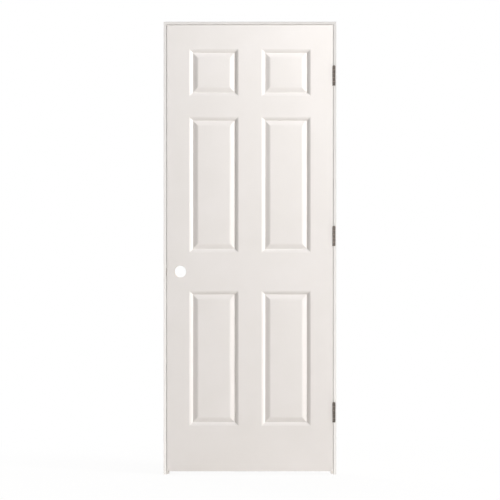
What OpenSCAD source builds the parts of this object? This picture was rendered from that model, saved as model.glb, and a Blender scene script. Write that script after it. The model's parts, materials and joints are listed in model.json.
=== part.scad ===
// Panelled door hung in its frame.
// Millimetres, +Z up. The origin is on the floor, in the middle of the frame's width and depth.
// The side that shows the hinge knuckles, and that the door opens towards, faces -Y.

/* [Slab] */
// Width of the slab on its front face
slab_w = 756; // [610:1:915]
// Height of the slab
slab_h = 2032; // [1981:1:2134]
// Thickness of the slab over both facings
slab_t = 35; // [33:0.5:45]
// Thickness of each pressed facing
facing_t = 3.2; // [2.5:0.1:4]
// Lean of the lock edge, which lets it swing past the jamb
lock_edge_bevel = 3; // [0:0.5:4]
// Width of the solid stiles between the facings
stile_w = 32; // [30:1:32]
// Height of the solid rails between the facings
rail_w = 38; // [25:1:60]

/* [Panel layout] */
// Flat face beside the outer panels
stile_face_w = 101; // [99:1:120]
// Flat face between the two columns of panels
mullion_face_w = 104; // [80:1:130]
// Flat face above the small panels
top_rail_face_h = 109; // [80:1:130]
// Height of the small panels at the top
small_panel_h = 215; // [150:1:240]
// Flat face between the small and the middle panels
frieze_rail_face_h = 94; // [70:1:120]
// Height of the middle panels
middle_panel_h = 618; // [560:1:640]
// Flat face that the lockset is bored in
lock_rail_face_h = 174; // [140:1:200]
// Flat face under the bottom panels
bottom_rail_face_h = 206; // [160:1:240]

/* [Panel moulding] */
// Width of the rolled moulding from the flat face to the groove
roll_w = 16; // [12:0.5:18]
// Slope at which the rolled moulding leaves the flat face
roll_start_angle = 12; // [4:1:14]
// Width of the groove's flat floor
groove_w = 2; // [1:0.5:4]
// Depth of the groove below the flat face
groove_depth = 9.5; // [7:0.5:10]
// Width of the straight flank that rises from the groove
flank_w = 13; // [8:1:16]
// Width of the shoulder over which the flank eases into the raised field
shoulder_w = 15; // [9:1:16]
// How far the raised field lies below the flat face
field_drop = 1; // [0.5:0.5:2]

/* [Frame] */
// Clearance between the slab and the frame
gap = 2; // [2:0.5:4]
// Clearance between the slab and the floor
floor_gap = 15; // [8:1:25]
// Thickness of the jambs
jamb_t = 13; // [12.5:0.5:20]
// Depth of the jambs, the thickness of the finished wall
jamb_depth = 116; // [100:1:170]
// Radius of the eased edges of the jambs
jamb_edge_r = 1.5; // [0.5:0.5:3]
// How deep the head sits in the legs
head_rabbet = 5; // [3:0.5:7]
// Width of the stop moulding
stop_w = 32; // [28:1:38]
// Thickness of the stop moulding
stop_t = 11; // [9:0.5:12]
// Clearance between the closed slab and its stops
stop_clearance = 1; // [0.5:0.5:2]

/* [Hinges] */
// Height of each hinge leaf
hinge_h = 89; // [80:1:102]
// Thickness of the hinge leaves
leaf_t = 2.6; // [2:0.1:2.8]
// Radius of the routed corners of the leaves
leaf_corner_r = 15.5; // [6:0.5:15.5]
// Bare margin left behind the leaf on the slab's edge
leaf_margin = 5; // [4:0.5:7]
// Diameter of the hinge pin
pin_d = 7.5; // [6:0.5:8]
// Distance of the pin's axis in front of the slab's face
pin_offset = 8; // [8:0.5:10]
// From the slab's top to the middle of the top hinge
top_hinge_drop = 232; // [180:1:260]
// From the slab's top to the middle of the middle hinge
middle_hinge_drop = 962; // [900:1:1020]
// From the slab's top to the middle of the bottom hinge
bottom_hinge_drop = 1764; // [1700:1:1800]

/* [Lock preparation] */
// Diameter of the bore through the slab for the lockset
lock_bore_d = 54; // [50:0.5:55]
// Distance of that bore's axis from the lock edge
backset = 60; // [60:0.5:63]
// Diameter of the latch bore in the slab's edge and of the bolt hole in the jamb
latch_bore_d = 25; // [22:0.5:25.5]
// Height of the mortises for the latch's face plate and the strike plate
plate_h = 57; // [54:1:60]
// Width of the face plate's mortise
plate_w = 25.4; // [25.4:0.1:26]
// Depth of the face plate's mortise
plate_t = 3; // [2:0.5:4]

/* [Hidden] */
$fn = 96;

// How far a cutting shape reaches past the face that it opens
over = 1;
// Running clearance of the pins, and the fitting clearance of what is let into wood
pin_clearance = 0.05;
fit = 0.2;

// Panels: column and row places from the slab's lower left corner
bottom_panel_h = slab_h - top_rail_face_h - small_panel_h - frieze_rail_face_h
               - middle_panel_h - lock_rail_face_h - bottom_rail_face_h;
panel_w = (slab_w - 2 * stile_face_w - mullion_face_w) / 2;
panel_columns = [stile_face_w, stile_face_w + panel_w + mullion_face_w];
middle_panel_z = bottom_rail_face_h + bottom_panel_h + lock_rail_face_h;
small_panel_z = middle_panel_z + middle_panel_h + frieze_rail_face_h;
panel_rows = [
    [bottom_rail_face_h, bottom_panel_h],
    [middle_panel_z, middle_panel_h],
    [small_panel_z, small_panel_h]
];

// Rolled moulding: an arc from the flat face down to the groove
roll_chord = norm([roll_w, groove_depth]);
roll_half_angle = atan(groove_depth / roll_w) - roll_start_angle;
roll_r = roll_chord / 2 / sin(roll_half_angle);
roll_rise = roll_r * cos(roll_half_angle);
roll_centre = [roll_w / 2 - roll_rise * groove_depth / roll_chord,
               groove_depth / 2 + roll_rise * roll_w / roll_chord];
sticking_w = roll_w + groove_w;

// Raised panel: a straight flank, then a shoulder whose slope falls evenly to nothing
margin_w = sticking_w + flank_w + shoulder_w;
flank_slope = (groove_depth - field_drop) / (flank_w + shoulder_w / 2);
shoulder_steps = 3;

// Slab and frame
bevel_run = slab_t * tan(lock_edge_bevel);
opening_w = slab_w + 2 * gap;
opening_h = floor_gap + slab_h + gap;
frame_w = opening_w + 2 * jamb_t;
frame_h = opening_h + jamb_t;
front_y = -jamb_depth / 2;
stop_y = front_y + slab_t + stop_clearance;
stop_round = stop_t * 0.6;
inner_t = slab_t - 2 * facing_t;

// Lock preparation
bore_z = bottom_rail_face_h + bottom_panel_h + lock_rail_face_h / 2;
block_w = stile_face_w - stile_w - 4;
block_h = 400;
plate_r = 6;
strike_t = 2;
strike_w = 30;
strike_lip_h = 32;

// Hinges, in a frame of their own: the pin's axis at mid height, +X towards the jamb
slab_top = floor_gap + slab_h;
top_hinge_z = slab_top - top_hinge_drop;
middle_hinge_z = slab_top - middle_hinge_drop;
bottom_hinge_z = slab_top - bottom_hinge_drop;
hinge_heights = [top_hinge_z, middle_hinge_z, bottom_hinge_z];
knuckle_bore_r = pin_d / 2 + pin_clearance;
barrel_r = knuckle_bore_r + leaf_t;
// The door leaf runs straight into the back of its knuckles, and the frame leaf into the middle
door_leaf_x = fit - barrel_r;
frame_leaf_x = door_leaf_x + leaf_t + gap;
hinge_x = slab_w / 2 - leaf_t - door_leaf_x;
hinge_y = front_y - pin_offset;
knuckle_count = 5;
knuckle_pitch = hinge_h / knuckle_count;
knuckle_gap = 0.3;
leaf_front = barrel_r + 0.4;
leaf_back = pin_offset + slab_t - leaf_margin;
corner_r = min(leaf_corner_r, (leaf_back - leaf_front) / 2);
pin_head_r = 5.6;
pin_head_h = 3.4;

// Countersunk screws of the hinge leaves, as places along the leaf's depth and height
screw_head_r = 4.1;
screw_shank_r = 2;
screw_sink = leaf_t - 0.3;
screw_tip = 5;
screw_cross = [4.4, 0.9, 1.5];
door_screw_len = 25;
frame_screw_len = jamb_t - 1.5;
screw_mid_y = (pin_offset + leaf_back) / 2;
screw_places = [
    [screw_mid_y + 5, hinge_h * 0.34],
    [screw_mid_y - 5, 0],
    [screw_mid_y + 5, -hinge_h * 0.34]
];

// Nails of the frame's corners and brads of the stops
nail_r = 1.3;
nail_len = 45;
nail_head_r = 2.6;
nail_head_t = 1;
nail_ys = [-0.33, 0, 0.33] * jamb_depth;
brad_r = 0.7;
brad_len = stop_t + jamb_t - 3;
brad_y = stop_y + stop_w * 0.4;
brad_count = 5;

// Paper honeycomb: ribbons folded to a wave and glued where they meet
cell_rise = 45;
paper_t = 1.2;
ribbon_pitch = cell_rise * 2 + paper_t;
core_x = stile_w;
core_z = rail_w;
core_w = slab_w - 2 * stile_w;
core_h = slab_h - 2 * rail_w;
fold_count = 2 * floor(core_w / cell_rise / 2) + 1;
fold_run = core_w / fold_count;
ribbon_count = floor(core_h / ribbon_pitch);
ribbon_z0 = core_z + (core_h - ribbon_count * ribbon_pitch) / 2 + ribbon_pitch / 2;

primer = [0.925, 0.91, 0.89];
bronze = [0.38, 0.35, 0.325];
steel = [0.62, 0.62, 0.63];
pine = [0.82, 0.68, 0.48];
kraft = [0.66, 0.5, 0.34];

// Places what is drawn from the slab's lower left front corner.
module on_slab() {
    translate([-slab_w / 2, front_y, floor_gap]) children();
}

// Draws a child once for each hinge, about the pin's axis at mid height.
module on_hinges() {
    for (z = hinge_heights) translate([hinge_x, hinge_y, z]) children();
}

// Turns a profile drawn in depth and height to run along X.
module along_x(length) {
    rotate([90, 0, 90]) linear_extrude(height = length) children();
}

// Rectangle centred on the origin with rounded corners.
module rounded_rectangle(width, height, r) {
    square([width - 2 * r, height], center = true);
    square([width, height - 2 * r], center = true);
    for (sx = [-1, 1], sy = [-1, 1]) {
        translate([sx * (width / 2 - r), sy * (height / 2 - r)]) circle(r);
    }
}

// Panel relief. A panel is drawn from its lower left corner, with depth along +Y.

// Section of the pressed hollow: rolled sides and a flat floor.
module hollow_section(width) {
    difference() {
        translate([0, -over]) square([width, groove_depth + over]);
        translate(roll_centre) circle(roll_r);
        translate([width - roll_centre[0], roll_centre[1]]) circle(roll_r);
    }
}

// Point of the shoulder, left being 1 where the flank ends and 0 at the field.
function shoulder_point(left) =
    [margin_w - shoulder_w * left, field_drop + flank_slope * shoulder_w / 2 * left * left];

// Section of the raised panel: a flat field between two eased margins, on a root.
module raised_section(width, root) {
    margin = concat(
        [[sticking_w, groove_depth + root], [sticking_w, groove_depth]],
        [for (n = [shoulder_steps : -1 : 0]) shoulder_point(n / shoulder_steps)]
    );
    last = len(margin) - 1;
    polygon(concat(margin, [for (n = [last : -1 : 0]) [width - margin[n][0], margin[n][1]]]));
}

// Runs one section up and another across, so that their corners mitre.
module mitred(width, height) {
    intersection() {
        linear_extrude(height = height) children(0);
        translate([width, 0, 0]) rotate([0, -90, 0]) linear_extrude(height = width) children(1);
    }
}

module hollow(width, height) {
    mitred(width, height) {
        hollow_section(width);
        hollow_section(height);
    }
}

module raised(width, height, root) {
    mitred(width, height) {
        raised_section(width, root);
        raised_section(height, root);
    }
}

module on_panels(depth) {
    for (x = panel_columns, row = panel_rows) {
        $panel_h = row[1];
        translate([x, depth, row[0]]) children();
    }
}

// One pressed facing, its face at depth 0 and its back following the relief.
module facing_sheet() {
    difference() {
        union() {
            difference() {
                union() {
                    cube([slab_w, facing_t, slab_h]);
                    on_panels(facing_t) hollow(panel_w, $panel_h);
                }
                on_panels(0) hollow(panel_w, $panel_h);
            }
            on_panels(0) raised(panel_w, $panel_h, facing_t / 2);
        }
        on_panels(facing_t) raised(panel_w, $panel_h, over);
    }
}

// The slab's outline seen from above, with its leaning lock edge.
module slab_plan() {
    polygon([[0, 0], [slab_w, 0], [slab_w, slab_t], [bevel_run, slab_t]]);
}

// Part of the slab's outline between two depths.
module slab_layer(depth, thickness) {
    linear_extrude(height = slab_h) intersection() {
        slab_plan();
        translate([-over, depth]) square([slab_w + 2 * over, thickness]);
    }
}

// Lock preparation, from the slab's corner.
module lock_bore() {
    translate([backset, slab_t + over, bore_z]) rotate([90, 0, 0])
        cylinder(h = slab_t + 2 * over, d = lock_bore_d);
}

module latch_bore() {
    translate([-over, slab_t / 2, bore_z]) rotate([0, 90, 0])
        cylinder(h = backset + over, d = latch_bore_d);
}

module latch_plate_mortise() {
    translate([-over, slab_t / 2, bore_z]) along_x(plate_t + bevel_run / 2 + over)
        rounded_rectangle(plate_w, plate_h, plate_r);
}

// Hinges, about the pin's axis at mid height.

// Outline of a leaf in depth and height, grown by a clearance for its recess.
module leaf_outline(clear = 0) {
    r = corner_r + clear;
    back = leaf_back + clear;
    half_h = hinge_h / 2 + clear;
    translate([leaf_front, -half_h]) square([back - r - leaf_front, 2 * half_h]);
    translate([leaf_front, r - half_h]) square([back - leaf_front, 2 * (half_h - r)]);
    for (s = [-1, 1]) translate([back - r, s * (half_h - r)]) circle(r);
}

// Recess for a leaf; side is 1 in the jamb and -1 in the slab.
module leaf_recess(side) {
    translate([side > 0 ? frame_leaf_x - over : door_leaf_x, 0, 0])
        along_x(leaf_t + over) leaf_outline(fit);
}

// Countersunk screw, its head's face at the origin and its point down.
module screw(length) {
    difference() {
        union() {
            translate([0, 0, -screw_sink])
                cylinder(h = screw_sink, r1 = screw_shank_r, r2 = screw_head_r);
            translate([0, 0, screw_tip - length])
                cylinder(h = length - screw_tip - screw_sink, r = screw_shank_r);
            translate([0, 0, -length])
                cylinder(h = screw_tip, r1 = screw_shank_r / 6, r2 = screw_shank_r);
        }
        for (turn = [0, 90]) {
            rotate(turn) cube([screw_cross[0], screw_cross[1], 2 * screw_cross[2]], center = true);
        }
    }
}

// Hole in a leaf that seats the screw's head.
module screw_seat() {
    translate([0, 0, -screw_sink])
        cylinder(h = screw_sink, r1 = screw_shank_r, r2 = screw_head_r);
    translate([0, 0, -leaf_t - over]) cylinder(h = leaf_t, r = screw_shank_r + fit / 2);
}

// Pilot hole in the wood.
module screw_pilot(length) {
    translate([0, 0, -length - fit]) cylinder(h = length + fit, r = screw_shank_r + fit / 2);
}

// Draws a child at each screw's place on a leaf, pointing into the wood.
module on_screws(side) {
    for (p = screw_places) {
        translate([side > 0 ? frame_leaf_x : door_leaf_x + leaf_t, p[0], p[1]])
            rotate([0, -90 * side, 0]) children();
    }
}

// A leaf with its knuckles, counted from the bottom.
module leaf(side, knuckles) {
    leaf_x = side > 0 ? frame_leaf_x : door_leaf_x;
    color(bronze) difference() {
        union() {
            translate([leaf_x, 0, 0]) along_x(leaf_t) leaf_outline();
            for (k = knuckles) translate([0, 0, k * knuckle_pitch - hinge_h / 2 + knuckle_gap / 2]) {
                cylinder(h = knuckle_pitch - knuckle_gap, r = barrel_r);
                translate([leaf_x, 0, 0])
                    cube([leaf_t, leaf_front + over, knuckle_pitch - knuckle_gap]);
            }
        }
        cylinder(h = hinge_h + 2 * over, r = knuckle_bore_r, center = true);
        on_screws(side) screw_seat();
    }
}

module frame_leaf(z) {
    translate([hinge_x, hinge_y, z]) leaf(1, [0, 2, 4]);
}

module door_leaf(z) {
    translate([hinge_x, hinge_y, z]) leaf(-1, [1, 3]);
}

// Pin with a domed button head, dropped in from the top.
module hinge_pin(z) {
    dome_r = (pow(pin_head_r, 2) + pow(pin_head_h, 2)) / 2 / pin_head_h;
    color(bronze) translate([hinge_x, hinge_y, z]) {
        translate([0, 0, -hinge_h / 2]) cylinder(h = hinge_h + over / 2, d = pin_d);
        translate([0, 0, hinge_h / 2]) intersection() {
            cylinder(h = pin_head_h, r = pin_head_r);
            translate([0, 0, pin_head_h - dome_r]) sphere(dome_r);
        }
    }
}

module frame_leaf_screws() {
    color(bronze) on_hinges() on_screws(1) screw(frame_screw_len);
}

module door_leaf_screws() {
    color(bronze) on_hinges() on_screws(-1) screw(door_screw_len);
}

// Frame

// Draws a nail's shape pointing along +X, from the head's face; clear widens it to a hole.
module nail(r, length, head_r, head_t, clear = 0) {
    rotate([0, 90, 0]) {
        cylinder(h = length + clear, r = r + clear);
        cylinder(h = head_t, r = head_r + clear);
    }
}

module corner_nail_shapes(clear = 0) {
    for (side = [-1, 1], y = nail_ys) {
        translate([side * frame_w / 2, y, opening_h + jamb_t / 2]) mirror([side > 0 ? 1 : 0, 0, 0])
            nail(nail_r, nail_len, nail_head_r, nail_head_t, clear);
    }
}

module stop_brad_shapes(clear = 0) {
    for (side = [-1, 1], n = [0.5 : brad_count - 0.5]) {
        translate([side * (opening_w / 2 - stop_t), brad_y, n * opening_h / brad_count])
            mirror([side < 0 ? 1 : 0, 0, 0]) nail(brad_r, brad_len, brad_r * 1.5, brad_r, clear);
    }
    for (x = [-0.3, 0, 0.3] * opening_w) {
        translate([x, brad_y, opening_h - stop_t]) rotate([0, -90, 0])
            nail(brad_r, brad_len, brad_r * 1.5, brad_r, clear);
    }
}

// One leg, with the rabbet for the head at its top; side is -1 on the left.
module leg(side) {
    difference() {
        translate([side * (opening_w + jamb_t) / 2, 0, 0]) linear_extrude(height = frame_h)
            rounded_rectangle(jamb_t, jamb_depth, jamb_edge_r);
        translate([side > 0 ? opening_w / 2 - over : -opening_w / 2 - head_rabbet, 0, opening_h])
            translate([0, front_y - over, 0])
                cube([head_rabbet + over, jamb_depth + 2 * over, jamb_t + over]);
        corner_nail_shapes(fit / 2);
        stop_brad_shapes(fit / 2);
    }
}

// Strike plate's mortise with its lip, and the bolt hole, on the strike jamb.
module strike_preparation() {
    lip_run = slab_t / 2 + over;
    translate([-opening_w / 2, front_y + slab_t / 2, floor_gap + bore_z]) {
        translate([-strike_t, 0, 0]) along_x(strike_t + over) {
            rounded_rectangle(strike_w, plate_h, plate_r);
            translate([-lip_run, -strike_lip_h / 2]) square([lip_run, strike_lip_h]);
        }
        translate([-jamb_t - over, 0, 0]) rotate([0, 90, 0])
            cylinder(h = jamb_t + 2 * over, d = latch_bore_d);
    }
}

module strike_jamb() {
    color(primer) difference() {
        leg(-1);
        strike_preparation();
    }
}

module hinge_jamb() {
    color(primer) difference() {
        leg(1);
        on_hinges() {
            leaf_recess(1);
            on_screws(1) screw_pilot(frame_screw_len);
        }
    }
}

module head_jamb() {
    length = opening_w + 2 * head_rabbet;
    color(primer) difference() {
        translate([-length / 2, 0, opening_h + jamb_t / 2]) along_x(length)
            rounded_rectangle(jamb_depth, jamb_t, jamb_edge_r);
        corner_nail_shapes(fit / 2);
        stop_brad_shapes(fit / 2);
    }
}

// Stop moulding's section in distance from the jamb and depth, its far corner rounded.
module stop_section() {
    square([stop_t, stop_w - stop_round]);
    square([stop_t - stop_round, stop_w]);
    intersection() {
        square([stop_t, stop_w]);
        translate([stop_t - stop_round, stop_w - stop_round]) circle(stop_round);
    }
}

// Half space that mitres the stops where the left leg meets the head; above is 1 over the mitre.
module mitre_cut(above) {
    reach = 3 * stop_t;
    translate([-opening_w / 2, stop_y - over, opening_h]) rotate([0, 45, 0])
        translate([-reach, 0, above > 0 ? 0 : -reach]) cube([2 * reach, stop_w + 2 * over, reach]);
}

// Left stop; the right one is its mirror image.
module side_stop() {
    difference() {
        translate([-opening_w / 2, stop_y, 0]) linear_extrude(height = opening_h) stop_section();
        mitre_cut(1);
        stop_brad_shapes(fit / 2);
    }
}

module strike_stop() {
    color(primer) side_stop();
}

module hinge_stop() {
    color(primer) mirror([1, 0, 0]) side_stop();
}

module head_stop() {
    color(primer) difference() {
        translate([-opening_w / 2, stop_y, opening_h]) rotate([0, 90, 0])
            linear_extrude(height = opening_w) stop_section();
        mitre_cut(-1);
        mirror([1, 0, 0]) mitre_cut(-1);
        stop_brad_shapes(fit / 2);
    }
}

module corner_nails() {
    color(steel) corner_nail_shapes();
}

module stop_brads() {
    color(steel) stop_brad_shapes();
}

// Slab

module front_facing() {
    color(primer) difference() {
        on_slab() intersection() {
            facing_sheet();
            linear_extrude(height = slab_h) slab_plan();
        }
        on_slab() lock_bore();
        on_hinges() leaf_recess(-1);
    }
}

module rear_facing() {
    color(primer) on_slab() difference() {
        intersection() {
            translate([0, slab_t, 0]) mirror([0, 1, 0]) facing_sheet();
            linear_extrude(height = slab_h) slab_plan();
        }
        lock_bore();
    }
}

module lock_stile() {
    color(pine) on_slab() difference() {
        slab_layer(facing_t, inner_t);
        translate([stile_w, 0, -over]) cube([slab_w, slab_t, slab_h + 2 * over]);
        latch_bore();
        latch_plate_mortise();
    }
}

module hinge_stile() {
    color(pine) difference() {
        on_slab() translate([slab_w - stile_w, facing_t, 0]) cube([stile_w, inner_t, slab_h]);
        on_hinges() {
            leaf_recess(-1);
            on_screws(-1) screw_pilot(door_screw_len);
        }
    }
}

module inner_rail(z) {
    color(pine) on_slab() translate([stile_w, facing_t, z])
        cube([slab_w - 2 * stile_w, inner_t, rail_w]);
}

module top_rail() {
    inner_rail(slab_h - rail_w);
}

module bottom_rail() {
    inner_rail(0);
}

module lock_block_shape() {
    translate([stile_w, facing_t, bore_z - block_h / 2]) cube([block_w, inner_t, block_h]);
}

module lock_block() {
    color(pine) on_slab() difference() {
        lock_block_shape();
        lock_bore();
        latch_bore();
    }
}

// Paper honeycomb

// Height of the wave at its nth fold; two folds stay level, then two change side.
function wave_z(n) = (n % 4 < 2 ? 1 : -1) * cell_rise;

// One ribbon, seen from the front; phase turns every other one over.
module ribbon(phase) {
    folds = [for (n = [0 : fold_count]) [n * fold_run, phase * wave_z(n)]];
    polygon(concat(
        [for (p = folds) p - [0, paper_t / 2]],
        [for (n = [fold_count : -1 : 0]) folds[n] + [0, paper_t / 2]]
    ));
}

// Room that the facing's relief takes up, from the slab's front face.
module relief_room() {
    on_panels(0) {
        difference() {
            cube([panel_w, groove_depth + facing_t + fit, $panel_h]);
            translate([margin_w, -over, margin_w])
                cube([panel_w - 2 * margin_w, slab_t, $panel_h - 2 * margin_w]);
        }
        cube([panel_w, field_drop + facing_t, $panel_h]);
    }
}

module honeycomb_core() {
    color(kraft) on_slab() difference() {
        for (n = [0 : ribbon_count - 1]) {
            translate([core_x, slab_t - facing_t, ribbon_z0 + n * ribbon_pitch]) rotate([90, 0, 0])
                linear_extrude(height = inner_t) ribbon(n % 2 == 0 ? 1 : -1);
        }
        relief_room();
        translate([0, slab_t, 0]) mirror([0, 1, 0]) relief_room();
        lock_block_shape();
    }
}

strike_jamb();
hinge_jamb();
head_jamb();
strike_stop();
hinge_stop();
head_stop();
corner_nails();
stop_brads();
front_facing();
rear_facing();
lock_stile();
hinge_stile();
top_rail();
bottom_rail();
lock_block();
honeycomb_core();
frame_leaf(top_hinge_z);  // top_hinge_frame_leaf
frame_leaf(middle_hinge_z);  // middle_hinge_frame_leaf
frame_leaf(bottom_hinge_z);  // bottom_hinge_frame_leaf
door_leaf(top_hinge_z);  // top_hinge_door_leaf
door_leaf(middle_hinge_z);  // middle_hinge_door_leaf
door_leaf(bottom_hinge_z);  // bottom_hinge_door_leaf
hinge_pin(top_hinge_z);  // top_hinge_pin
hinge_pin(middle_hinge_z);  // middle_hinge_pin
hinge_pin(bottom_hinge_z);  // bottom_hinge_pin
frame_leaf_screws();
door_leaf_screws();
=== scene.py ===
import json
import math

import bmesh
import bpy
from mathutils import Matrix, Vector


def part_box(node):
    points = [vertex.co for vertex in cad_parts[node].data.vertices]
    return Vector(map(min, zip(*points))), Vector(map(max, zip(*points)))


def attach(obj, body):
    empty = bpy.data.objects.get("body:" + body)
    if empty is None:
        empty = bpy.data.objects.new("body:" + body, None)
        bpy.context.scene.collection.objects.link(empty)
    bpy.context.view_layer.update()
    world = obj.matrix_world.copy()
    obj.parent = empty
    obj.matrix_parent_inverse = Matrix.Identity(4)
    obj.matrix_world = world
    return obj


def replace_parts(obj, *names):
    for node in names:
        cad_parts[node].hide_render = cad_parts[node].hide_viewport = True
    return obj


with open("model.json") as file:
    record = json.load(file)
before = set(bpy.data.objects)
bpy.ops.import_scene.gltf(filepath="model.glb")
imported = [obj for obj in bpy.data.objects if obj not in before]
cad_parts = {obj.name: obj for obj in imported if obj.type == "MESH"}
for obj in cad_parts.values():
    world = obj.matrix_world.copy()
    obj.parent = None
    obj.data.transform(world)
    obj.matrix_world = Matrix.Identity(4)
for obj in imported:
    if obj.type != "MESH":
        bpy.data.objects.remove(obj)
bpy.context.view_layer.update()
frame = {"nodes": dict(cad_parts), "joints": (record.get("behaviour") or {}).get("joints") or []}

# Legs and head: finger-jointed pine jambs, planed square with eased edges and
# sprayed with a white primer at the mill. The head sits in a rabbet in each leg
# and is nailed through it.
MM = 0.001
UPRIGHT, LEVEL = 2, 0  # the axis that the grain runs along
PRIMER_WHITE, PRIMER_THIN = "#E9E7E4", "#E3E0DD"
PINE_EARLY, PINE_LATE = "#DEC294", "#C1975F"
GRAIN_W, GRAIN_L = 2.2 * MM, 420 * MM
PRIMER_PATCH = 120 * MM
PRIMED_RELIEF = 0.25 * MM
PRIMER_SKIN = 0.15 * MM
EASED_EDGE = 1.5 * MM
MORTISE_DEPTH = 3 * MM


def linear(hex_colour):
    """Turns an sRGB hex colour into the linear RGBA that shader sockets take."""
    channels = [int(hex_colour[n:n + 2], 16) / 255 for n in (1, 3, 5)]
    return [c / 12.92 if c <= 0.04045 else ((c + 0.055) / 1.055) ** 2.4 for c in channels] + [1]


def set_inputs(node, inputs):
    """Sets a node's inputs to values, or links other nodes' outputs to them."""
    for socket, value in inputs.items():
        if isinstance(value, bpy.types.NodeSocket):
            node.id_data.links.new(value, node.inputs[socket])
        else:
            node.inputs[socket].default_value = value


def add_node(tree, kind, inputs=None, **settings):
    """Adds a node, and sets its properties and its inputs."""
    node = tree.nodes.new(kind)
    for name, value in settings.items():
        setattr(node, name, value)
    set_inputs(node, inputs or {})
    return node


def new_finish(name):
    """Starts a material: its tree, its shader and its Object coordinates."""
    material = bpy.data.materials.new(name)
    material.use_nodes = True
    tree = material.node_tree
    place = add_node(tree, "ShaderNodeTexCoord").outputs["Object"]
    return material, tree, tree.nodes["Principled BSDF"], place


def drawn_out(width, length, axis):
    """The scale of a pattern of that width, drawn out to that length along one axis."""
    scale = [1 / width] * 3
    scale[axis] = 1 / length
    return scale


def dress(node_names, material):
    """Gives CAD nodes their finish."""
    for name in node_names:
        for slot in frame["nodes"][name].material_slots:
            slot.material = material


def primed_pine(name, grain_axis, cut_node=None):
    """White primer over planed pine: matt, a little uneven, with the grain just telegraphing.

    Bores and ends are cut after priming, so deeper than its mortises a leg is bare there.
    """
    material, tree, shader, place = new_finish(name)
    grain_at = add_node(tree, "ShaderNodeMapping",
                        {"Vector": place, "Scale": drawn_out(GRAIN_W, GRAIN_L, grain_axis)})
    fibres = add_node(tree, "ShaderNodeTexNoise",
                      {"Vector": grain_at.outputs[0], "Scale": 1, "Detail": 3})
    cloud = add_node(tree, "ShaderNodeTexNoise",
                     {"Vector": place, "Scale": 1 / PRIMER_PATCH, "Detail": 4})
    colour = add_node(tree, "ShaderNodeMix", {
        "Factor": cloud.outputs["Fac"],
        "A": linear(PRIMER_THIN),
        "B": linear(PRIMER_WHITE),
    }, data_type="RGBA")
    if cut_node:
        low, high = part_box(cut_node)
        inner, outer = low.x + MORTISE_DEPTH + PRIMER_SKIN, high.x - PRIMER_SKIN
        axes = add_node(tree, "ShaderNodeSeparateXYZ", {"Vector": place})
        from_middle = add_node(tree, "ShaderNodeMath", {0: axes.outputs["X"]}, operation="ABSOLUTE")
        within_t = add_node(tree, "ShaderNodeMath", {
            0: from_middle.outputs[0],
            1: (inner + outer) / 2,
            2: (outer - inner) / 2,
        }, operation="COMPARE")
        within_depth = add_node(tree, "ShaderNodeMath", {
            0: axes.outputs["Y"],
            1: (low.y + high.y) / 2,
            2: (high.y - low.y) / 2 - EASED_EDGE,
        }, operation="COMPARE")
        cut = add_node(tree, "ShaderNodeMath",
                       {0: within_t.outputs[0], 1: within_depth.outputs[0]}, operation="MULTIPLY")
        bare = add_node(tree, "ShaderNodeMix", {
            "Factor": fibres.outputs["Fac"],
            "A": linear(PINE_EARLY),
            "B": linear(PINE_LATE),
        }, data_type="RGBA")
        colour = add_node(tree, "ShaderNodeMix", {
            "Factor": cut.outputs[0],
            "A": colour.outputs["Result"],
            "B": bare.outputs["Result"],
        }, data_type="RGBA")
    gloss = add_node(tree, "ShaderNodeMapRange",
                     {"Value": fibres.outputs["Fac"], "To Min": 0.5, "To Max": 0.66})
    relief = add_node(tree, "ShaderNodeBump",
                      {"Height": fibres.outputs["Fac"], "Strength": 0.1, "Distance": PRIMED_RELIEF})
    set_inputs(shader, {
        "Base Color": colour.outputs["Result"],
        "Roughness": gloss.outputs["Result"],
        "Normal": relief.outputs["Normal"],
    })
    return material


upright_primer = primed_pine("primed_pine_upright", UPRIGHT, cut_node="hinge_jamb")
level_primer = primed_pine("primed_pine_level", LEVEL)
dress(["strike_jamb", "hinge_jamb"], upright_primer)
dress(["head_jamb"], level_primer)

# Stops: thin pine mouldings with one rounded edge, primed with the jambs, mitred
# at the corners and bradded on where the closed door meets them.
dress(["strike_stop", "hinge_stop"], upright_primer)
dress(["head_stop"], level_primer)

# Corner nails and stop brads: bright steel wire, drawn and cut, driven flush by a
# nail gun before the frame leaves the shop. Drawing leaves a grey, mottled gloss.
STEEL_DARK, STEEL_LIGHT = "#8E8E90", "#B4B4B6"
DRAW_MARK = 0.6 * MM
wire_steel, tree, shader, place = new_finish("drawn_steel_wire")
drawing = add_node(tree, "ShaderNodeTexNoise",
                   {"Vector": place, "Scale": 1 / DRAW_MARK, "Detail": 2})
tone = add_node(tree, "ShaderNodeMix", {
    "Factor": drawing.outputs["Fac"],
    "A": linear(STEEL_DARK),
    "B": linear(STEEL_LIGHT),
}, data_type="RGBA")
gloss = add_node(tree, "ShaderNodeMapRange",
                 {"Value": drawing.outputs["Fac"], "To Min": 0.3, "To Max": 0.5})
set_inputs(shader, {
    "Base Color": tone.outputs["Result"],
    "Metallic": 1,
    "Roughness": gloss.outputs["Result"],
})
dress(["corner_nails", "stop_brads"], wire_steel)

# Slab's inner frame: sawn pine stiles, rails and a lock block, glued between the
# facings. The long edges got primer when the slab was sprayed, the rest is bare.
RING_W = 9 * MM
FIBRE_W, FIBRE_L = 0.7 * MM, 22 * MM
SAWN_RELIEF = 0.2 * MM
EDGE_PRIMED_FROM = 375.9 * MM
RAGGED_PRIMER = 0.5 * MM


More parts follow.
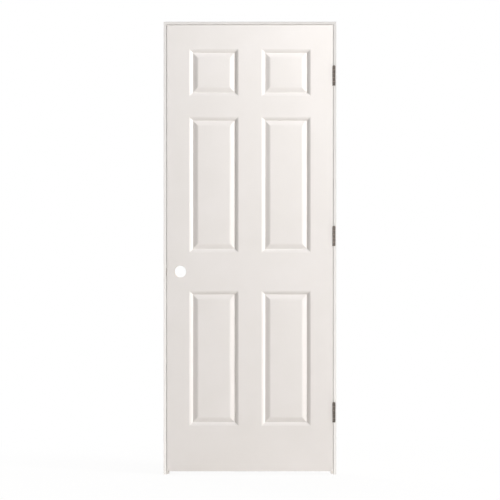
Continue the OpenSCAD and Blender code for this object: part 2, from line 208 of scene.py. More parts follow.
def sawn_pine(name, grain_axis, painted_from=None):
    """Bare softwood: soft bands of early and late wood, and fibres that the saw left rough.

    Past a distance from the door's middle it has primer, with a ragged border.
    """
    material, tree, shader, place = new_finish(name)
    rings_at = add_node(tree, "ShaderNodeMapping",
                        {"Vector": place, "Scale": drawn_out(RING_W, GRAIN_L, grain_axis)})
    rings = add_node(tree, "ShaderNodeTexNoise",
                     {"Vector": rings_at.outputs[0], "Scale": 1, "Detail": 4, "Distortion": 0.6})
    fibres_at = add_node(tree, "ShaderNodeMapping",
                         {"Vector": place, "Scale": drawn_out(FIBRE_W, FIBRE_L, grain_axis)})
    fibres = add_node(tree, "ShaderNodeTexNoise",
                      {"Vector": fibres_at.outputs[0], "Scale": 1, "Detail": 2})
    banding = add_node(tree, "ShaderNodeMapRange",
                       {"Value": rings.outputs["Fac"], "From Min": 0.4, "From Max": 0.62})
    colour = add_node(tree, "ShaderNodeMix", {
        "Factor": banding.outputs["Result"],
        "A": linear(PINE_EARLY),
        "B": linear(PINE_LATE),
    }, data_type="RGBA")
    if painted_from:
        axes = add_node(tree, "ShaderNodeSeparateXYZ", {"Vector": place})
        away = add_node(tree, "ShaderNodeMath", {0: axes.outputs["X"]}, operation="ABSOLUTE")
        ragged = add_node(tree, "ShaderNodeMath",
                          {0: fibres.outputs["Fac"], 1: RAGGED_PRIMER, 2: away.outputs[0]},
                          operation="MULTIPLY_ADD")
        painted = add_node(tree, "ShaderNodeMath",
                           {0: ragged.outputs[0], 1: painted_from}, operation="GREATER_THAN")
        colour = add_node(tree, "ShaderNodeMix", {
            "Factor": painted.outputs[0],
            "A": colour.outputs["Result"],
            "B": linear(PRIMER_THIN),
        }, data_type="RGBA")
    gloss = add_node(tree, "ShaderNodeMapRange",
                     {"Value": fibres.outputs["Fac"], "To Min": 0.6, "To Max": 0.8})
    relief = add_node(tree, "ShaderNodeBump",
                      {"Height": fibres.outputs["Fac"], "Strength": 0.4, "Distance": SAWN_RELIEF})
    set_inputs(shader, {
        "Base Color": colour.outputs["Result"],
        "Roughness": gloss.outputs["Result"],
        "Normal": relief.outputs["Normal"],
    })
    return material


dress(["lock_stile", "hinge_stile"], sawn_pine("edge_primed_pine", UPRIGHT, EDGE_PRIMED_FROM))
dress(["lock_block"], sawn_pine("sawn_pine_upright", UPRIGHT))
dress(["top_rail", "bottom_rail"], sawn_pine("sawn_pine_level", LEVEL))

# Core: brown kraft paper, folded to a honeycomb and stretched between the stiles
# to hold the two facings apart. It is sealed in. Its pulp gives a dull, flecked brown.
KRAFT_DARK, KRAFT_LIGHT = "#A5825A", "#C09A6C"
PULP_FLECK = 3 * MM
PAPER_RELIEF = 0.1 * MM
kraft_paper, tree, shader, place = new_finish("kraft_paper")
pulp = add_node(tree, "ShaderNodeTexNoise",
                {"Vector": place, "Scale": 1 / PULP_FLECK, "Detail": 5})
tone = add_node(tree, "ShaderNodeMix", {
    "Factor": pulp.outputs["Fac"],
    "A": linear(KRAFT_DARK),
    "B": linear(KRAFT_LIGHT),
}, data_type="RGBA")
relief = add_node(tree, "ShaderNodeBump",
                  {"Height": pulp.outputs["Fac"], "Strength": 0.4, "Distance": PAPER_RELIEF})
set_inputs(shader, {
    "Base Color": tone.outputs["Result"],
    "Roughness": 0.85,
    "Normal": relief.outputs["Normal"],
})
dress(["honeycomb_core"], kraft_paper)

# Facings: thin fibreboard pressed in a hot die, so that each rolled moulding, groove
# and raised panel is one skin with soft creases. The die also embosses a faint wood
# grain, upright on stiles and panels and level on rails, under the white primer.
SLAB_LOW, front_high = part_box("front_facing")
rear_low, rear_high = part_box("rear_facing")
SLAB_W = front_high.x - SLAB_LOW.x
SLAB_H = front_high.z - SLAB_LOW.z
SLAB_T = rear_high.y - SLAB_LOW.y
REAR_X0 = rear_low.x - SLAB_LOW.x
FACING_T = 3.2 * MM
STILE_FACE, MULLION_FACE = 101 * MM, 104 * MM
PANEL_W = (SLAB_W - 2 * STILE_FACE - MULLION_FACE) / 2
PANEL_COLUMNS = [STILE_FACE, STILE_FACE + PANEL_W + MULLION_FACE]
# Each row of panels, under its input's name: its start above the slab's foot, and its height.
PANEL_ROWS = {
    "Bottom Height": (206 * MM, 616 * MM),
    "Middle Height": (996 * MM, 618 * MM),
    "Top Height": (1708 * MM, 215 * MM),
}
BORE_X, BORE_Z, BORE_R = 60 * MM, 909 * MM, 27 * MM
BORE_SIDES = 64

# The moulding's profile in millimetres, from the flat face inwards: a roll that falls
# ever steeper to a narrow groove, a straight flank, and a shoulder that eases to the field.
ROLL_W, GROOVE_W, FLANK_W, SHOULDER_W = 16, 2, 13, 15
GROOVE_DEPTH, FIELD_DROP = 9.5, 1
ROLL_START = math.radians(12)
GROOVE_FILLET, FILLET_STEPS, ROLL_STEPS, SHOULDER_STEPS = 1.0, 6, 12, 8


def pressed_profile():
    """Points of the moulding, as distance in and depth, with fillets in the groove."""
    half_turn = math.atan2(GROOVE_DEPTH, ROLL_W) - ROLL_START
    radius = math.hypot(ROLL_W, GROOVE_DEPTH) / 2 / math.sin(half_turn)
    centre = Vector((-radius * math.sin(ROLL_START), radius * math.cos(ROLL_START)))
    roll = [centre + radius * Vector((math.sin(turn), -math.cos(turn)))
            for turn in (ROLL_START + 2 * half_turn * n / ROLL_STEPS for n in range(ROLL_STEPS + 1))]
    flank_start = Vector((ROLL_W + GROOVE_W, GROOVE_DEPTH))
    flank_slope = (GROOVE_DEPTH - FIELD_DROP) / (FLANK_W + SHOULDER_W / 2)
    field_edge = Vector((flank_start.x + FLANK_W + SHOULDER_W, FIELD_DROP))
    shoulder = [field_edge + Vector((-SHOULDER_W * left, flank_slope * SHOULDER_W / 2 * left ** 2))
                for left in (1 - n / SHOULDER_STEPS for n in range(SHOULDER_STEPS + 1))]

    def fillet(before, corner, after):
        start = corner + (before - corner).normalized() * GROOVE_FILLET
        end = corner + (after - corner).normalized() * GROOVE_FILLET
        return [start.lerp(corner, t).lerp(corner.lerp(end, t), t)
                for t in (n / FILLET_STEPS for n in range(FILLET_STEPS + 1))]

    return (roll[:-1] + fillet(roll[-2], roll[-1], flank_start)[:-1]
            + fillet(roll[-1], flank_start, shoulder[0]) + shoulder)


def new_object(name, data):
    """Adds an object to the scene, at the origin."""
    made = bpy.data.objects.new(name, data)
    bpy.context.scene.collection.objects.link(made)
    return made


# The sweep is scaled by the root of two, so that its mitres reach into the square corners,
# and the profile's depth is drawn shallower by as much.
MITRE_REACH = math.sqrt(2)
profile_points = pressed_profile()
profile_curve = bpy.data.curves.new("pressed_profile", "CURVE")
profile_curve.dimensions = "3D"
profile_spline = profile_curve.splines.new("POLY")
profile_spline.points.add(len(profile_points) - 1)
for point, at in zip(profile_spline.points, profile_points):
    point.co = (-at.x * MM, at.y * MM / MITRE_REACH, 0, 1)
profile = new_object("pressed_profile", profile_curve)
field_inset = profile_points[-1].x * MM
field_depth = profile_points[-1].y * MM


def new_tree(name, inputs, output):
    """Starts a Geometry Nodes tree with named inputs and one output, and gives the inputs."""
    tree = bpy.data.node_groups.new(name, "GeometryNodeTree")
    for socket, kind in inputs.items():
        tree.interface.new_socket(socket, in_out="INPUT", socket_type="NodeSocket" + kind)
    tree.interface.new_socket(output, in_out="OUTPUT", socket_type="NodeSocketGeometry")
    return tree, add_node(tree, "NodeGroupInput").outputs


# One pressed panel: the profile swept round a rectangle, with mitred corners, and the flat field.
panel_tree, given = new_tree("pressed_panel", {
    "Width": "Float",
    "Height": "Float",
    "Centre": "Vector",
    "Profile": "Object",
    "Field Inset": "Float",
    "Field Depth": "Float",
}, "Mesh")
border = add_node(panel_tree, "GeometryNodeCurvePrimitiveQuadrilateral",
                  {"Width": given["Width"], "Height": given["Height"]})
level = add_node(panel_tree, "GeometryNodeSetCurveNormal",
                 {"Curve": border.outputs[0]}, mode="Z_UP")
section = add_node(panel_tree, "GeometryNodeObjectInfo", {"Object": given["Profile"]})
swept = add_node(panel_tree, "GeometryNodeCurveToMesh", {
    "Curve": level.outputs[0],
    "Profile Curve": section.outputs["Geometry"],
    "Scale": MITRE_REACH,
})
inset = add_node(panel_tree, "ShaderNodeMath",
                 {0: given["Field Inset"], 1: 2.0}, operation="MULTIPLY")
field_w = add_node(panel_tree, "ShaderNodeMath",
                   {0: given["Width"], 1: inset.outputs[0]}, operation="SUBTRACT")
field_h = add_node(panel_tree, "ShaderNodeMath",
                   {0: given["Height"], 1: inset.outputs[0]}, operation="SUBTRACT")
field = add_node(panel_tree, "GeometryNodeMeshGrid", {
    "Size X": field_w.outputs[0],
    "Size Y": field_h.outputs[0],
    "Vertices X": 2,
    "Vertices Y": 2,
})
sunk = add_node(panel_tree, "ShaderNodeMath",
                {0: given["Field Depth"], 1: -1.0}, operation="MULTIPLY")
sink = add_node(panel_tree, "ShaderNodeCombineXYZ", {"Z": sunk.outputs[0]})
field_at = add_node(panel_tree, "GeometryNodeTransform",
                    {"Geometry": field.outputs["Mesh"], "Translation": sink.outputs[0]})
both = add_node(panel_tree, "GeometryNodeJoinGeometry", {"Geometry": swept.outputs[0]})
set_inputs(both, {"Geometry": field_at.outputs[0]})
placed = add_node(panel_tree, "GeometryNodeTransform",
                  {"Geometry": both.outputs[0], "Translation": given["Centre"]})
add_node(panel_tree, "NodeGroupOutput", {"Mesh": placed.outputs[0]})

# Primed fibreboard: matt white with a soft unevenness, a sprayed peel, and embossed pores a
# few centimetres long, drawn a little coarser than real ones so that they show.
FACING_WHITE, FACING_THIN = "#ECE8E6", "#E6E2DE"
PORE_W, PORE_L, PORE_RELIEF = 3 * MM, 70 * MM, 0.15 * MM
PEEL_W, PEEL_RELIEF = 1.6 * MM, 0.12 * MM
FACING_PATCH = 160 * MM
primed_fibreboard, tree, shader, place = new_finish("primed_embossed_fibreboard")
across = add_node(tree, "ShaderNodeAttribute", attribute_name="grain_across").outputs["Fac"]
upright_at = add_node(tree, "ShaderNodeMapping",
                      {"Vector": place, "Scale": drawn_out(PORE_W, PORE_L, UPRIGHT)})
level_at = add_node(tree, "ShaderNodeMapping",
                    {"Vector": place, "Scale": drawn_out(PORE_W, PORE_L, LEVEL)})
grain_at = add_node(tree, "ShaderNodeMix", {
    "Factor": across,
    "A": upright_at.outputs[0],
    "B": level_at.outputs[0],
}, data_type="VECTOR")
pores = add_node(tree, "ShaderNodeTexNoise", {
    "Vector": grain_at.outputs["Result"],
    "Scale": 1,
    "Detail": 3,
    "Roughness": 0.6,
})
pressed_pores = add_node(tree, "ShaderNodeMapRange",
                         {"Value": pores.outputs["Fac"], "From Min": 0.36, "From Max": 0.5})
spray = add_node(tree, "ShaderNodeTexNoise", {"Vector": place, "Scale": 1 / PEEL_W, "Detail": 2})
cloud = add_node(tree, "ShaderNodeTexNoise",
                 {"Vector": place, "Scale": 1 / FACING_PATCH, "Detail": 5})
tint = add_node(tree, "ShaderNodeMix", {
    "Factor": cloud.outputs["Fac"],
    "A": linear(FACING_THIN),
    "B": linear(FACING_WHITE),
}, data_type="RGBA")
gloss = add_node(tree, "ShaderNodeMapRange",
                 {"Value": spray.outputs["Fac"], "To Min": 0.64, "To Max": 0.8})
peel = add_node(tree, "ShaderNodeBump",
                {"Height": spray.outputs["Fac"], "Strength": 0.12, "Distance": PEEL_RELIEF})
emboss = add_node(tree, "ShaderNodeBump", {
    "Height": pressed_pores.outputs["Result"],
    "Strength": 0.22,
    "Distance": PORE_RELIEF,
    "Normal": peel.outputs["Normal"],
})
set_inputs(shader, {
    "Base Color": tint.outputs["Result"],
    "Specular IOR Level": 0.25,
    "Roughness": gloss.outputs["Result"],
    "Normal": emboss.outputs["Normal"],
})

# Raw fibreboard: dull brown pressed fibre, seen where the bore cuts through the facing.
RAW_DARK, RAW_LIGHT = "#7A5A3C", "#A07B55"
RAW_FIBRE, RAW_RELIEF = 0.8 * MM, 0.15 * MM
raw_fibreboard, tree, shader, place = new_finish("raw_fibreboard")
fibre = add_node(tree, "ShaderNodeTexNoise",
                 {"Vector": place, "Scale": 1 / RAW_FIBRE, "Detail": 4})
tone = add_node(tree, "ShaderNodeMix", {
    "Factor": fibre.outputs["Fac"],
    "A": linear(RAW_DARK),
    "B": linear(RAW_LIGHT),
}, data_type="RGBA")
relief = add_node(tree, "ShaderNodeBump",
                  {"Height": fibre.outputs["Fac"], "Strength": 0.5, "Distance": RAW_RELIEF})
set_inputs(shader, {
    "Base Color": tone.outputs["Result"],
    "Roughness": 0.85,
    "Normal": relief.outputs["Normal"],
})

# The facing's tree: flat stiles and rails come in, six pressed panels join them.
SEAM_WELD = 0.02 * MM
facing_tree, given = new_tree("pressed_facing", {
    "Flats": "Geometry",
    "Panel Width": "Float",
    **{height_name: "Float" for height_name in PANEL_ROWS},
    "Profile": "Object",
}, "Facing")
whole = add_node(facing_tree, "GeometryNodeJoinGeometry", {"Geometry": given["Flats"]})
for x in PANEL_COLUMNS:
    for height_name, (z, height) in PANEL_ROWS.items():
        panel = add_node(facing_tree, "GeometryNodeGroup", node_tree=panel_tree)
        set_inputs(panel, {
            "Width": given["Panel Width"],
            "Height": given[height_name],
            "Profile": given["Profile"],
            "Centre": (x + PANEL_W / 2, z + height / 2, 0),
            "Field Inset": field_inset,
            "Field Depth": field_depth,
        })
        set_inputs(whole, {"Geometry": panel.outputs[0]})
welded = add_node(facing_tree, "GeometryNodeMergeByDistance",
                  {"Geometry": whole.outputs[0], "Distance": SEAM_WELD})
real = add_node(facing_tree, "GeometryNodeRealizeInstances", {0: welded.outputs[0]})
coated = add_node(facing_tree, "GeometryNodeSetMaterial",
                  {0: real.outputs[0], "Material": primed_fibreboard})
add_node(facing_tree, "NodeGroupOutput", {"Facing": coated.outputs[0]})


def flat_faces(left, notches):
    """Stiles, rails and mullions seen from the face, with the bore and the hinge notches."""
    mesh = bmesh.new()
    grain = mesh.faces.layers.float.new("grain_across")
    vertices = {}

    def corner(x, z):
        key = (round(x / MM, 3), round(z / MM, 3))
        if key not in vertices:
            vertices[key] = mesh.verts.new((x, z, 0))
        return vertices[key]

    def fill_outline(*loops):
        edges = [mesh.edges.get((loop[n - 1], loop[n])) or mesh.edges.new((loop[n - 1], loop[n]))
                 for loop in loops for n in range(len(loop))]
        bmesh.ops.triangle_fill(mesh, edges=edges, use_beauty=True, use_dissolve=False,
                                normal=(0, 0, 1))

    inner_left, inner_right = STILE_FACE, SLAB_W - STILE_FACE
    rows_z = [z for low, height in PANEL_ROWS.values() for z in (low, low + height)]
    rails_z = [0] + rows_z + [SLAB_H]
    # The left stile is filled round the bore, the right one past the notches for the hinge leaves.
    outline = [(left, 0)] + [(inner_left, z) for z in rails_z] + [(left, SLAB_H)]
    lock_side = [corner(*p) for p in outline]
    bore = [corner(BORE_X + BORE_R * math.cos(a), BORE_Z + BORE_R * math.sin(a))
            for a in (2 * math.pi * n / BORE_SIDES for n in range(BORE_SIDES))]
    fill_outline(lock_side, bore)
    outline = [(inner_right, z) for z in reversed(rails_z)] + [(SLAB_W, 0)]
    for low, high, depth in notches:
        outline += [(SLAB_W, low), (SLAB_W - depth, low), (SLAB_W - depth, high), (SLAB_W, high)]
    fill_outline([corner(*p) for p in outline + [(SLAB_W, SLAB_H)]])
    breaks = [inner_left, PANEL_COLUMNS[0] + PANEL_W, PANEL_COLUMNS[1], inner_right]
    for low, high in zip(rails_z[::2], rails_z[1::2]):
        rail = mesh.faces.new([corner(x, low) for x in breaks]
                              + [corner(x, high) for x in reversed(breaks)])
        rail[grain] = 1
    for low, high in zip(rails_z[1::2], rails_z[2::2]):
        mesh.faces.new([corner(breaks[1], low), corner(breaks[2], low),
                        corner(breaks[2], high), corner(breaks[1], high)])
    data = bpy.data.meshes.new("facing_flats")
    mesh.to_mesh(data)
    mesh.free()
    return data


def plain_mesh(piece, name):
    """Turns an object with live modifiers into a plain one of that name."""
    evaluated = piece.evaluated_get(bpy.context.evaluated_depsgraph_get())
    data = bpy.data.meshes.new_from_object(evaluated)
    data.name = name
    result = new_object(name, data)
    bpy.data.objects.remove(piece)
    return result


def shape_by(tree, piece, values, name):
    """Runs a tree on an object, with its inputs set by identifier, and gives a plain piece."""
    modifier = piece.modifiers.new(tree.name, "NODES")
    modifier.node_group = tree
    for item in tree.interface.items_tree:
        if item.in_out == "INPUT" and item.name in values:
            modifier[item.identifier] = values[item.name]
    return plain_mesh(piece, name)


MITRE_CREASE = math.radians(9)
BORE_WALL_TILT, BORE_WALL_REACH = 0.3, 1.02


def pressed_facing(name, left, notches, to_frame):
    """Presses one facing: flats and panels in one sheet, given its thickness and set on the slab."""
    sheet = shape_by(facing_tree, new_object(name + "_sheet", flat_faces(left, notches)), {
        "Panel Width": PANEL_W,
        **{height_name: height for height_name, (z, height) in PANEL_ROWS.items()},
        "Profile": profile,
    }, name + "_pressed")
    mesh = bmesh.new()
    mesh.from_mesh(sheet.data)
    bmesh.ops.reverse_faces(mesh, faces=[f for f in mesh.faces if f.normal.z < 0])
    mesh.to_mesh(sheet.data)
    mesh.free()
    sheet.data.materials.append(raw_fibreboard)
    sheet.data.transform(to_frame)
    if to_frame.determinant() < 0:
        sheet.data.flip_normals()
    # The side that is glued to the inner frame stays raw, and so does the wall of the bore.
    thick = sheet.modifiers.new("thickness", "SOLIDIFY")
    thick.thickness = FACING_T
    thick.offset = -1
    thick.use_even_offset = True
    thick.material_offset = 1
    thick.material_offset_rim = 0
    facing = plain_mesh(sheet, name)
    facing.data.shade_smooth()
    facing.data.set_sharp_from_angle(angle=MITRE_CREASE)
    axis = Vector((SLAB_LOW.x + BORE_X, 0, SLAB_LOW.z + BORE_Z))
    for polygon in facing.data.polygons:
        away = polygon.center - axis
        near_bore = math.hypot(away.x, away.z) < BORE_R * BORE_WALL_REACH
        if near_bore and abs(polygon.normal.y) < BORE_WALL_TILT:
            polygon.material_index = 1
    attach(facing, "door")
    return facing


HINGES = ("bottom", "middle", "top")
LEAF_T, LEAF_FIT = 2.6 * MM, 0.2 * MM
hinge_boxes = [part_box(f"{hinge}_hinge_door_leaf") for hinge in HINGES]
leaf_notches = [(low.z - SLAB_LOW.z - LEAF_FIT, high.z - SLAB_LOW.z + LEAF_FIT, LEAF_T)
                for low, high in hinge_boxes]
# A facing is drawn lying face up. It is stood upright to look out to -Y or, mirrored, to +Y.
upright = Matrix(((1, 0, 0, 0), (0, 0, -1, 0), (0, 1, 0, 0), (0, 0, 0, 1)))
front = Matrix.Translation(SLAB_LOW) @ upright
mirrored = Matrix.Diagonal((1, -1, 1, 1)) @ upright
rear = Matrix.Translation(SLAB_LOW + Vector((0, SLAB_T, 0))) @ mirrored
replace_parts(pressed_facing("front_facing_skin", 0, leaf_notches, front), "front_facing")
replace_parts(pressed_facing("rear_facing_skin", REAR_X0, [], rear), "rear_facing")
bpy.data.objects.remove(profile)

# Hinges: steel leaves stamped and rolled round a loose pin, let in flush, with a dark bronze
# plating. It looks brushed and patchy, stays dark along the barrels' rims, and is rubbed a
# little lighter where the knuckles meet.
BRONZE_DARK, BRONZE_LIGHT = "#423D3A", "#625B57"
BRONZE_RUBBED, BRONZE_RIM = "#A2968A", "#8A827C"
PATINA_PATCH = 14 * MM
HALF_KNUCKLE, RUBBED_W = 8.9 * MM, 1.6 * MM
BARREL_STANDS_OUT = 1.2 * MM
BRUSH_W, BRUSH_L, BRUSH_RELIEF = 0.3 * MM, 9 * MM, 0.05 * MM
dark_bronze, tree, shader, place = new_finish("dark_bronze_plating")
patina = add_node(tree, "ShaderNodeTexNoise",
                  {"Vector": place, "Scale": 1 / PATINA_PATCH, "Detail": 5})
tone = add_node(tree, "ShaderNodeMix", {
    "Factor": patina.outputs["Fac"],
    "A": linear(BRONZE_DARK),
    "B": linear(BRONZE_LIGHT),
}, data_type="RGBA")
axes = add_node(tree, "ShaderNodeSeparateXYZ", {"Vector": place})
nearest = None
for low, high in hinge_boxes:
    from_middle = add_node(tree, "ShaderNodeMath",
                           {0: axes.outputs["Z"], 1: (low.z + high.z) / 2}, operation="SUBTRACT")
    distance = add_node(tree, "ShaderNodeMath", {0: from_middle.outputs[0]}, operation="ABSOLUTE")
    nearest = distance if nearest is None else add_node(
        tree, "ShaderNodeMath", {0: nearest.outputs[0], 1: distance.outputs[0]}, operation="MINIMUM")
along = add_node(tree, "ShaderNodeMath",
                 {0: nearest.outputs[0], 1: HALF_KNUCKLE}, operation="PINGPONG")
at_end = add_node(tree, "ShaderNodeMapRange", {
    "Value": along.outputs[0],
    "From Min": HALF_KNUCKLE - RUBBED_W,
    "From Max": HALF_KNUCKLE,
})
on_barrel = add_node(tree, "ShaderNodeMath",
                     {0: axes.outputs["Y"], 1: SLAB_LOW.y - BARREL_STANDS_OUT}, operation="LESS_THAN")
rubbed = add_node(tree, "ShaderNodeMath",
                  {0: at_end.outputs["Result"], 1: on_barrel.outputs[0]}, operation="MULTIPLY")
patchy = add_node(tree, "ShaderNodeMath",
                  {0: rubbed.outputs[0], 1: patina.outputs["Fac"]}, operation="MULTIPLY")
worn = add_node(tree, "ShaderNodeMix", {
    "Factor": patchy.outputs[0],
    "A": tone.outputs["Result"],
    "B": linear(BRONZE_RUBBED),
}, data_type="RGBA")
brush_at = add_node(tree, "ShaderNodeMapping",
                    {"Vector": place, "Scale": drawn_out(BRUSH_W, BRUSH_L, UPRIGHT)})
brushing = add_node(tree, "ShaderNodeTexNoise",
                    {"Vector": brush_at.outputs[0], "Scale": 1, "Detail": 2})
gloss = add_node(tree, "ShaderNodeMapRange",
                 {"Value": brushing.outputs["Fac"], "To Min": 0.28, "To Max": 0.5})
relief = add_node(tree, "ShaderNodeBump",
                  {"Height": brushing.outputs["Fac"], "Strength": 0.15, "Distance": BRUSH_RELIEF})
set_inputs(shader, {
    "Base Color": worn.outputs["Result"],
    "Metallic": 1,
    "Specular Tint": linear(BRONZE_RIM),
    "Roughness": gloss.outputs["Result"],
    "Normal": relief.outputs["Normal"],
})
hinge_pieces = [f"{hinge}_hinge_{piece}" for hinge in HINGES
                for piece in ("frame_leaf", "door_leaf", "pin")]
dress(hinge_pieces, dark_bronze)

# Hinge screws: countersunk cross-recess wood screws, plated like the leaves. Three hold
# each leaf, short ones in the thin jamb and long ones in the slab's stile.
SHORT_SCREW, LONG_SCREW = 11.5 * MM, 25 * MM
HEAD_R, HEAD_SINK, HEAD_SIDES = 3.8 * MM, 2.3 * MM, 48
RECESS_REACH, RECESS_W, RECESS_DEPTH, RECESS_TAPER = 2.2 * MM, 0.9 * MM, 1.5 * MM, 0.55
SHANK_R, TIP_L, TIP_THIN = 2.0 * MM, 4.0 * MM, 0.1
THREAD_ROOT_R, THREAD_PITCH, THREAD_SIDES = 1.45 * MM, 1.6 * MM, 16
THREAD_CREASE = math.radians(32)
THREAD_WELD = 0.001 * MM


def screw_mesh(name, length):
    """One screw: head up at the origin, tapered cross recess, and a thread that runs to the tip."""
    mesh = bmesh.new()

    def ring(points):
        return [mesh.verts.new(p) for p in points]

    def skirt(upper, lower):
        for n in range(len(upper)):
            mesh.faces.new((upper[n - 1], lower[n - 1], lower[n], upper[n]))

    def circle(radius, height, sides):
        turns = [2 * math.pi * n / sides for n in range(sides)]
        return ring([(radius * math.cos(t), radius * math.sin(t), height) for t in turns])

    def cross(scale, height):
        reach, half = RECESS_REACH * scale, RECESS_W / 2 * scale
        arm = [(reach, -half), (reach, half), (half, half)]
        quarter_turns = ((1, 0), (0, 1), (-1, 0), (0, -1))
        return ring([(x * c - y * s, x * s + y * c, height) for c, s in quarter_turns for x, y in arm])

    # Head: a flat ring between the rim and the recess, whose walls close in towards a point.
    rim, mouth = circle(HEAD_R, 0, HEAD_SIDES), cross(1, 0)
    recess_floor = cross(RECESS_TAPER, -RECESS_DEPTH)
    edges = [mesh.edges.new((loop[n - 1], loop[n]))
             for loop in (rim, mouth) for n in range(len(loop))]
    bmesh.ops.triangle_fill(mesh, edges=edges, use_beauty=True, use_dissolve=False, normal=(0, 0, 1))
    skirt(recess_floor, mouth)
    mesh.faces.new(recess_floor)
    neck = circle(SHANK_R, -HEAD_SINK, HEAD_SIDES)
    skirt(rim, neck)
    # Thread: crests and roots wind down together, thinning over the tip's length.
    steps = int((length - HEAD_SINK) / THREAD_PITCH) * THREAD_SIDES

    def thread_point(step, radius, shift):
        height = min(-HEAD_SINK - THREAD_PITCH * (step / THREAD_SIDES + shift), -HEAD_SINK)
        height = max(height, -length)
        thin = min(1.0, (length + height) / TIP_L) * (1 - TIP_THIN) + TIP_THIN
        turn = 2 * math.pi * step / THREAD_SIDES
        return (radius * thin * math.cos(turn), radius * thin * math.sin(turn), height)

    start = ring([thread_point(n, SHANK_R, -2) for n in range(THREAD_SIDES)])
    crest = start + ring([thread_point(n, SHANK_R, 0) for n in range(steps)])
    root = ring([thread_point(n, THREAD_ROOT_R, -0.5) for n in range(steps)])
    for n in range(steps - 1):
        below = n + THREAD_SIDES
        mesh.faces.new((crest[n], root[n], root[n + 1], crest[n + 1]))
        mesh.faces.new((root[n], crest[below], crest[below + 1], root[n + 1]))
    bmesh.ops.remove_doubles(mesh, verts=mesh.verts, dist=THREAD_WELD)
    bmesh.ops.holes_fill(mesh, edges=[e for e in mesh.edges if e.is_boundary], sides=0)
    bmesh.ops.recalc_face_normals(mesh, faces=mesh.faces)
    data = bpy.data.meshes.new(name)
    mesh.to_mesh(data)
    mesh.free()
    data.shade_smooth()
    data.set_sharp_from_angle(angle=THREAD_CREASE)
    return data


# A screw stands at each point, its head turned to look out of the leaf and its recess at any angle.
screw_tree, given = new_tree("leaf_screws", {
    "Points": "Geometry",
    "Screw": "Object",
    "Lean": "Float",
    "Seed": "Int",
}, "Screws")
single = add_node(screw_tree, "GeometryNodeObjectInfo", {"Object": given["Screw"]})
lean = add_node(screw_tree, "ShaderNodeCombineXYZ", {"Y": given["Lean"]})
driven = add_node(screw_tree, "GeometryNodeInstanceOnPoints", {
    "Points": given["Points"],
    "Instance": single.outputs["Geometry"],
    "Rotation": lean.outputs[0],
})
stop_angle = add_node(screw_tree, "FunctionNodeRandomValue",
                      {"Max": math.pi / 2, "Seed": given["Seed"]}, data_type="FLOAT")
twist = add_node(screw_tree, "ShaderNodeCombineXYZ", {"Z": stop_angle.outputs["Value"]})
turned = add_node(screw_tree, "GeometryNodeRotateInstances", {
    "Instances": driven.outputs[0],
    "Rotation": twist.outputs[0],
    "Local Space": True,
})
real = add_node(screw_tree, "GeometryNodeRealizeInstances", {0: turned.outputs[0]})
plated = add_node(screw_tree, "GeometryNodeSetMaterial",
                  {0: real.outputs[0], "Material": dark_bronze})
add_node(screw_tree, "NodeGroupOutput", {"Screws": plated.outputs[0]})

# The three screws of a leaf, by how far back from the pin and how far up from the middle they are.
SCREW_PLACES = [(28 * MM, 30.26 * MM), (18 * MM, 0), (28 * MM, -30.26 * MM)]
PIN_AXIS = Vector(frame["joints"][0]["pos_m"])
for node, body, side, face_x, length, seed in (
    ("frame_leaf_screws", "frame", 1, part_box("hinge_jamb")[0].x, SHORT_SCREW, 3),
    ("door_leaf_screws", "door", -1, SLAB_LOW.x + SLAB_W, LONG_SCREW, 8),
):
    points = bpy.data.meshes.new(node + "_points")
    points.from_pydata([(face_x, PIN_AXIS.y + y, (low.z + high.z) / 2 + z)
                        for low, high in hinge_boxes for y, z in SCREW_PLACES], [], [])
    single_screw = new_object(node + "_single", screw_mesh(node + "_single", length))
    screws = shape_by(screw_tree, new_object(node + "_seats", points), {
        "Screw": single_screw,
        "Lean": -side * math.pi / 2,
        "Seed": seed,
    }, node + "_driven")
    bpy.data.objects.remove(single_screw)
    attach(screws, body)
    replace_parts(screws, node)

# Floor and background: a plain pale floor of matt paint that keeps a soft shadow near the
# door, and a white surround. The camera and shiny pieces see both as white, and the surround
# gives hardly any light of its own.
FLOOR_SIDE = 24
FLOOR_PALE = "#F2EEEA"
FADE_NEAR, FADE_FAR = 0.5, 2.0
WHITE_NEAR, WHITE_FAR = 0.93, 1.0
AMBIENT = 0.05
WHITE = (1, 1, 1, 1)


def seen_directly(tree):
    """1 for what the camera, reflections and clear pieces see, and 0 for light on the object."""
    path = add_node(tree, "ShaderNodeLightPath").outputs
    shown = add_node(tree, "ShaderNodeMath",
                     {0: path["Is Camera Ray"], 1: path["Is Glossy Ray"]}, operation="MAXIMUM")
    seen = add_node(tree, "ShaderNodeMath",
                    {0: shown.outputs[0], 1: path["Is Transmission Ray"]}, operation="MAXIMUM")
    return seen.outputs[0]


bpy.ops.mesh.primitive_plane_add(size=FLOOR_SIDE)
floor = bpy.context.object
floor.name = "studio_floor"
floor_paint, tree, shader, place = new_finish("studio_floor_paint")
set_inputs(shader, {"Base Color": linear(FLOOR_PALE), "Roughness": 0.9})
reach = add_node(tree, "ShaderNodeVectorMath", {0: place}, operation="LENGTH")
fade = add_node(tree, "ShaderNodeMapRange", {
    "Value": reach.outputs["Value"],
    "From Min": FADE_NEAR,
    "From Max": FADE_FAR,
    "To Min": WHITE_NEAR,
    "To Max": WHITE_FAR,
})
share = add_node(tree, "ShaderNodeMath",
                 {0: seen_directly(tree), 1: fade.outputs["Result"]}, operation="MULTIPLY")
white = add_node(tree, "ShaderNodeEmission", {"Color": WHITE, "Strength": 1})
mixed = add_node(tree, "ShaderNodeMixShader",
                 {"Fac": share.outputs[0], 1: shader.outputs[0], 2: white.outputs[0]})
set_inputs(tree.nodes["Material Output"], {"Surface": mixed.outputs[0]})
floor.data.materials.append(floor_paint)

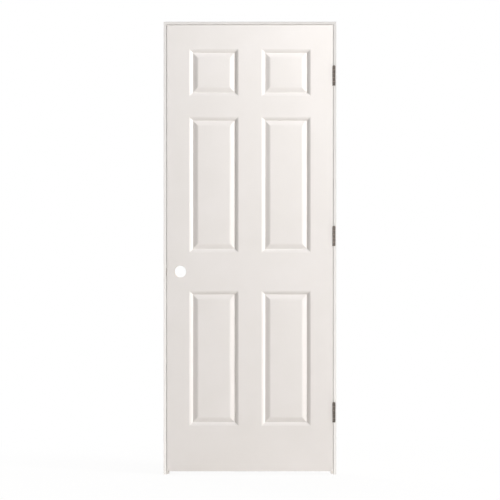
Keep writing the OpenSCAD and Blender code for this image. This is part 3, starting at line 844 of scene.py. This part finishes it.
world = bpy.data.worlds.new("studio")
bpy.context.scene.world = world
world.use_nodes = True
tree = world.node_tree
glow = add_node(tree, "ShaderNodeMix", {
    "Factor": seen_directly(tree),
    "A": (AMBIENT, AMBIENT, AMBIENT, 1),
    "B": WHITE,
}, data_type="RGBA")
set_inputs(tree.nodes["Background"], {"Color": glow.outputs["Result"]})

# Light: a soft lamp far to the right and above rakes across the slab's mouldings, with fill
# from overhead and from low on the left. A frontal lamp lights the frame and the hinges, which
# the first would burn out. One more lights the hinge side, and two the back and the top.
frame_wood = [frame["nodes"][name] for name in ("strike_jamb", "hinge_jamb", "head_jamb",
                                                "strike_stop", "hinge_stop", "head_stop")]
hinge_metal = [frame["nodes"][name] for name in hinge_pieces]


def lamp_group(name, members, state):
    """A group of pieces that a lamp is linked to or kept off."""
    group = bpy.data.collections.new(name)
    for member in members:
        group.objects.link(member)
    for item in group.collection_objects:
        item.light_linking.link_state = state
    return group


# Each lamp: where it stands, what it looks at, its sides in metres and its power in watts.
for name, at, towards, size, power in (
    ("raking_lamp", (6.9, -3.9, 4.2), (0, -0.058, 1.1), (2.0, 2.0), 612),
    ("frame_lamp", (-0.3, -9.5, 1.4), (0, -0.058, 1.1), (3.0, 1.0), 530),
    ("overhead_lamp", (1.2, -2.0, 3.2), (0.1, -0.058, 1.4), (1.5, 1.0), 34),
    ("low_lamp", (-1.6, -2.0, 0.5), (0, -0.058, 0.7), (1.0, 0.8), 4),
    ("side_lamp", (5.5, 0.3, 1.5), (0.39, 0, 1.1), (1.2, 1.2), 70),
    ("rear_lamp", (-2.2, 3.4, 2.4), (0, 0.058, 1.1), (2.0, 2.0), 94),
    ("rear_overhead_lamp", (0.3, 2.0, 4.0), (0, 0, 1.6), (1.5, 1.0), 36),
):
    lamp = bpy.data.lights.new(name, "AREA")
    lamp.shape = "RECTANGLE"
    lamp.size, lamp.size_y = size
    lamp.energy = power
    lamp_object = new_object(name, lamp)
    lamp_object.location = at
    lamp_object.rotation_euler = (Vector(towards) - Vector(at)).to_track_quat("-Z", "Y").to_euler()
    linking = lamp_object.light_linking
    # The slab's two main lamps pass the frame by, and the hinges throw no shadow from them.
    if name in ("raking_lamp", "overhead_lamp"):
        passed_by = lamp_group("not_by_" + name, frame_wood + hinge_metal, "EXCLUDE")
        linking.receiver_collection = passed_by
        linking.blocker_collection = lamp_group("past_for_" + name, hinge_metal, "EXCLUDE")
    if name == "frame_lamp":
        linking.receiver_collection = lamp_group("only_by_" + name, frame_wood + hinge_metal, "INCLUDE")

# Camera: square on to the door at mid height, from far enough that lines stay parallel. The
# lens gives the slab as many pixels as it has in the photograph.
PIXELS_PER_METRE = 219.64
IMAGE_SIDE = 500
CAMERA_DISTANCE = 10.0
EYE_HEIGHT = 1.0226
camera = bpy.data.cameras.new("camera")
camera.lens = camera.sensor_width * CAMERA_DISTANCE / (IMAGE_SIDE / PIXELS_PER_METRE)
camera_object = new_object("camera", camera)
camera_object.location = (0, SLAB_LOW.y - CAMERA_DISTANCE, EYE_HEIGHT)
camera_object.rotation_euler = (math.pi / 2, 0, 0)
bpy.context.scene.camera = camera_object
bpy.context.scene.view_settings.view_transform = "Standard"
